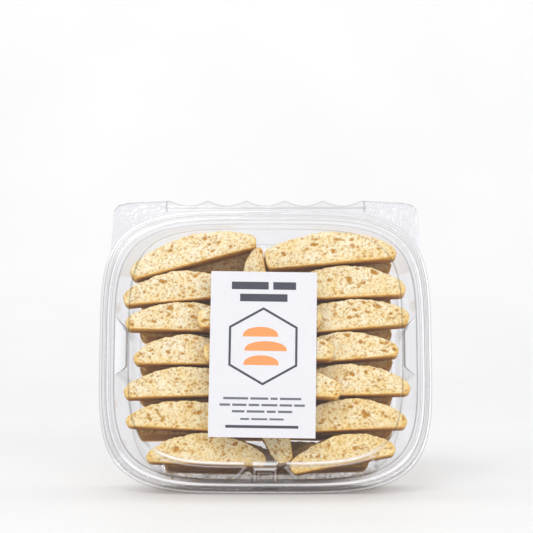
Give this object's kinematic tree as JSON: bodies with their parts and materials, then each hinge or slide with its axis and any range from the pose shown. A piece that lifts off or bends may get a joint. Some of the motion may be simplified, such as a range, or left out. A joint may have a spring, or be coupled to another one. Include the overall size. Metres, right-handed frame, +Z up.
{
  "type": "clear pack of biscotti",
  "caption": "Shut clear plastic clamshell pack with a paper label, full of half-moon biscotti slices stacked in two columns, standing and leaning back on its base.",
  "frame": {"origin": "centre of the footprint's box, on the surface the pack stands on", "axes": "+X across the pack to the right, +Y towards the back of the tray, +Z up; the lid and the label face -Y"},
  "size_m": [0.1906, 0.09, 0.1663],
  "materials": {
    "clear_plastic": "clear, glossy",
    "label_paper": "matt coated paper",
    "biscuit": "dry baked crumb with a golden crust"
  },
  "bodies": {
    "root": {"base_tray": "clear_plastic", "lid": "clear_plastic", "label": "label_paper", "biscotto_front_left_1": "biscuit", "biscotto_front_left_2": "biscuit", "biscotto_front_left_3": "biscuit", "biscotto_front_left_4": "biscuit", "biscotto_front_left_5": "biscuit", "biscotto_front_left_6": "biscuit", "biscotto_front_left_7": "biscuit", "biscotto_front_right_1": "biscuit", "biscotto_front_right_2": "biscuit", "biscotto_front_right_3": "biscuit", "biscotto_front_right_4": "biscuit", "biscotto_front_right_5": "biscuit", "biscotto_front_right_6": "biscuit", "biscotto_front_right_7": "biscuit", "biscotto_upright_1": "biscuit", "biscotto_upright_2": "biscuit", "biscotto_centre_1": "biscuit", "biscotto_centre_2": "biscuit", "biscotto_centre_3": "biscuit", "biscotto_middle_left_1": "biscuit", "biscotto_middle_left_2": "biscuit", "biscotto_middle_left_3": "biscuit", "biscotto_middle_left_4": "biscuit", "biscotto_middle_left_5": "biscuit", "biscotto_middle_left_6": "biscuit", "biscotto_middle_left_7": "biscuit", "biscotto_middle_right_1": "biscuit", "biscotto_middle_right_2": "biscuit", "biscotto_middle_right_3": "biscuit", "biscotto_middle_right_4": "biscuit", "biscotto_middle_right_5": "biscuit", "biscotto_middle_right_6": "biscuit", "biscotto_middle_right_7": "biscuit", "biscotto_back_left_1": "biscuit", "biscotto_back_left_2": "biscuit", "biscotto_back_left_3": "biscuit", "biscotto_back_left_4": "biscuit", "biscotto_back_left_5": "biscuit", "biscotto_back_left_6": "biscuit", "biscotto_back_left_7": "biscuit", "biscotto_back_right_1": "biscuit", "biscotto_back_right_2": "biscuit", "biscotto_back_right_3": "biscuit", "biscotto_back_right_4": "biscuit", "biscotto_back_right_5": "biscuit", "biscotto_back_right_6": "biscuit", "biscotto_back_right_7": "biscuit"}
  },
  "joints": []
}
